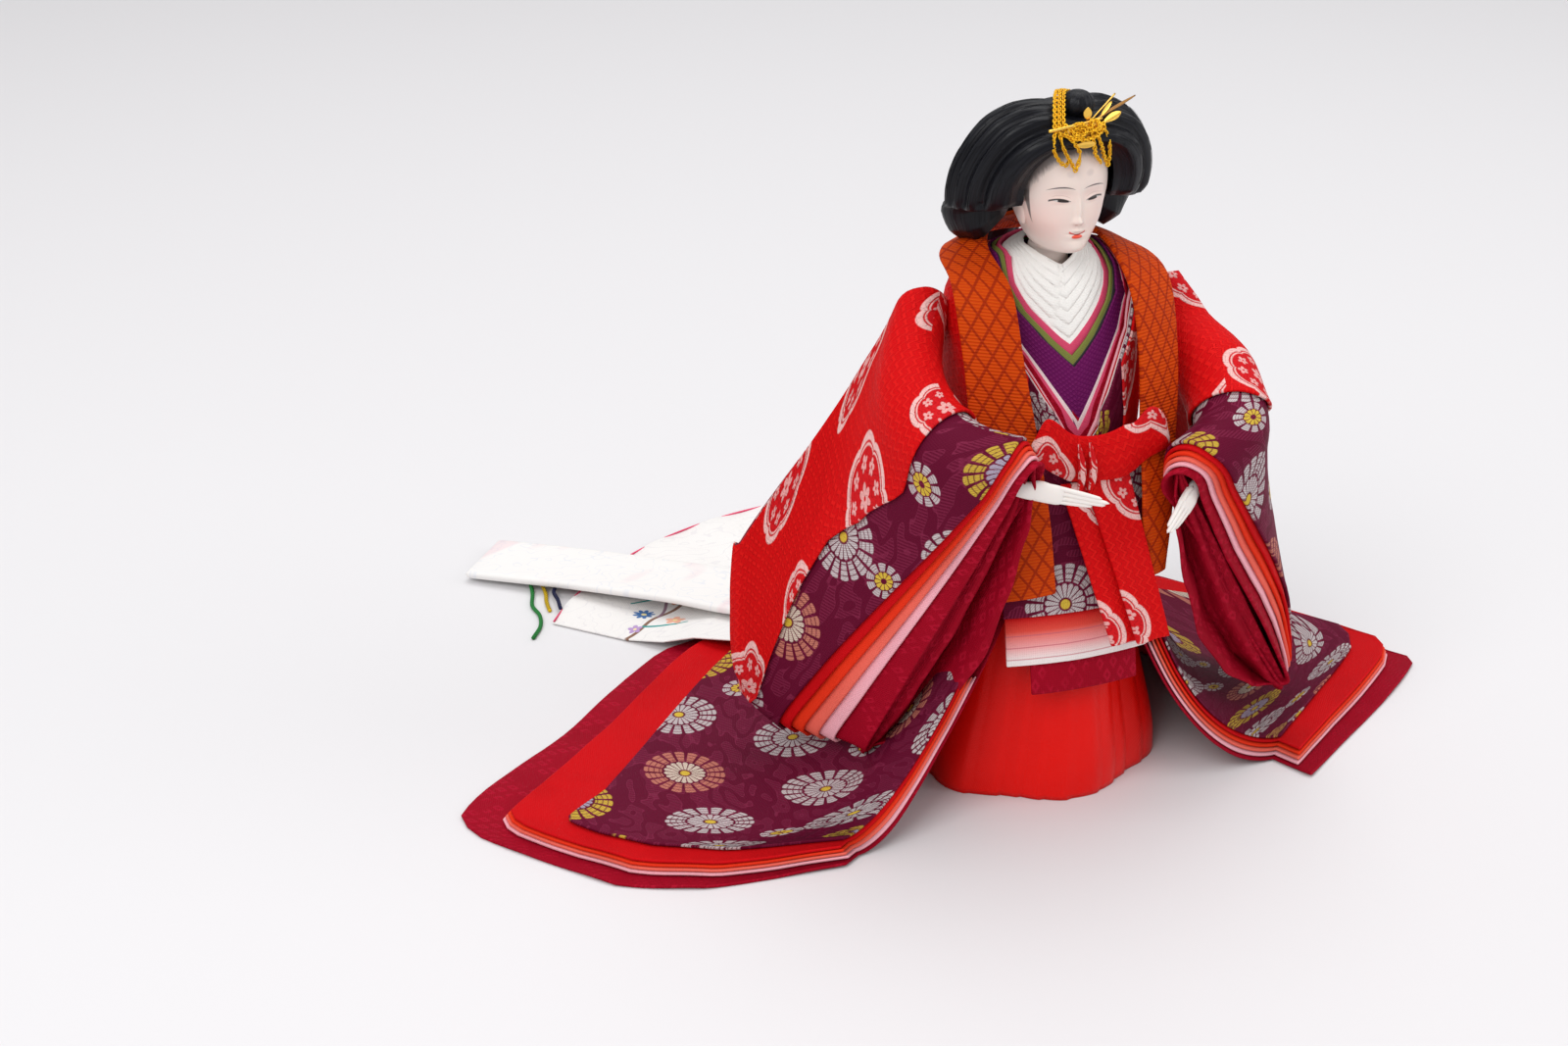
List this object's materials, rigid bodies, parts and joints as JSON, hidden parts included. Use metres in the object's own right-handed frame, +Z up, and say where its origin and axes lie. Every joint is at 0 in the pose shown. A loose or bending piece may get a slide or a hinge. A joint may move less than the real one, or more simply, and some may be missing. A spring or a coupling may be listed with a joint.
{
  "type": "hina doll",
  "caption": "Seated court lady display doll in layered silk robes with wide sleeves and a pleated train; head on a neck stick that turns and lifts out, hands that turn on wrist pegs",
  "frame": {"origin": "on the floor plane, under the neck stick's axis, at the middle of the base board's underside", "axes": "+Z up along the neck stick; -Y is the way the doll faces; +X is towards the doll's left, and the robes spread furthest along X"},
  "size_m": [0.369, 0.2789, 0.2412],
  "materials": {
    "crimson": "wine crimson silk with a tone-on-tone diamond weave",
    "pale_pink": "pale pink silk",
    "salmon": "salmon pink silk",
    "vermilion": "vermilion orange silk",
    "red": "deep red silk",
    "purple": "eggplant purple brocade with chrysanthemum roundels",
    "scarlet": "bright red brocade with a key-fret relief and plum roundels",
    "orange": "burnt orange ribbed brocade",
    "satin_red": "bright red satin",
    "white_silk": "white ribbed silk",
    "pink": "pink silk",
    "olive": "olive green silk",
    "violet": "violet silk",
    "train_white": "white silk with faint cloud outlines",
    "gofun": "shell-white lacquer, eggshell sheen",
    "hair": "glossy black silk hair",
    "gold": "gilt sheet metal",
    "gold_thread": "twisted gold cord",
    "wood": "plain planed wood",
    "straw": "bound straw, and padded wire in the arms",
    "cord_green": "twisted silk cord",
    "cord_yellow": "twisted silk cord",
    "cord_indigo": "twisted silk cord",
    "cord_red": "twisted silk cord"
  },
  "bodies": {
    "doll": {"hitoe_skirt": "crimson", "hitoe_right_sleeve": "crimson", "hitoe_left_sleeve": "crimson", "hitoe_front_panel": "crimson", "pale_pink_skirt": "pale_pink", "pale_pink_right_sleeve": "pale_pink", "pale_pink_left_sleeve": "pale_pink", "kasane_front_panel": "pale_pink", "kasane_bodice": "pale_pink", "salmon_skirt": "salmon", "salmon_right_sleeve": "salmon", "salmon_left_sleeve": "salmon", "vermilion_skirt": "vermilion", "vermilion_right_sleeve": "vermilion", "vermilion_left_sleeve": "vermilion", "red_skirt": "red", "red_right_sleeve": "red", "red_left_sleeve": "red", "uwagi_skirt": "purple", "uwagi_right_sleeve": "purple", "uwagi_left_sleeve": "purple", "uwagi_bodice": "purple", "uwagi_front_panel": "purple", "karaginu_right_sleeve": "scarlet", "karaginu_left_sleeve": "scarlet", "karaginu_body": "scarlet", "sash_bow": "scarlet", "sash_tail_inner": "scarlet", "sash_tail_outer": "scarlet", "karaginu_lapel": "orange", "hakama": "satin_red", "white_collar": "white_silk", "pink_collar": "pink", "green_collar": "olive", "violet_kosode": "violet", "waist_board": "train_white", "train": "train_white", "band_right": "train_white", "band_left": "train_white", "base_board": "wood", "straw_core": "straw", "right_arm": "straw", "left_arm": "straw", "cord_green": "cord_green", "cord_yellow": "cord_yellow", "cord_indigo": "cord_indigo", "cord_red": "cord_red"},
    "neck": {"neck_stick": "wood"},
    "head": {"head": "gofun", "hair_cap": "hair", "hair_bun": "hair", "hair_tail": "hair", "gold_plate": "gold", "gold_pin": "gold", "gold_leaf_middle": "gold", "gold_leaf_left": "gold", "gold_cord_band": "gold_thread", "gold_cord_bow": "gold_thread"},
    "right_hand": {"right_hand": "gofun"},
    "left_hand": {"left_hand": "gofun"}
  },
  "joints": [
    {"name": "head_lift", "type": "slide", "parent": "doll", "child": "neck", "axis": [0, 0, 1], "range_m": [0, 0.05]},
    {"name": "head_turn", "type": "hinge", "parent": "neck", "child": "head", "pos_m": [0, 0, 0.186], "axis": [0, 0, 1], "range_deg": [-15, 15]},
    {"name": "right_hand_turn", "type": "hinge", "parent": "doll", "child": "right_hand", "pos_m": [-0.04049, -0.0535, 0.12873], "axis": [0.7474, -0.6411, -0.1745], "range_deg": [-15, 15]},
    {"name": "left_hand_turn", "type": "hinge", "parent": "doll", "child": "left_hand", "pos_m": [0.0368, -0.04916, 0.1172], "axis": [-0.834, -0.4261, -0.3506], "range_deg": [-15, 10]}
  ]
}
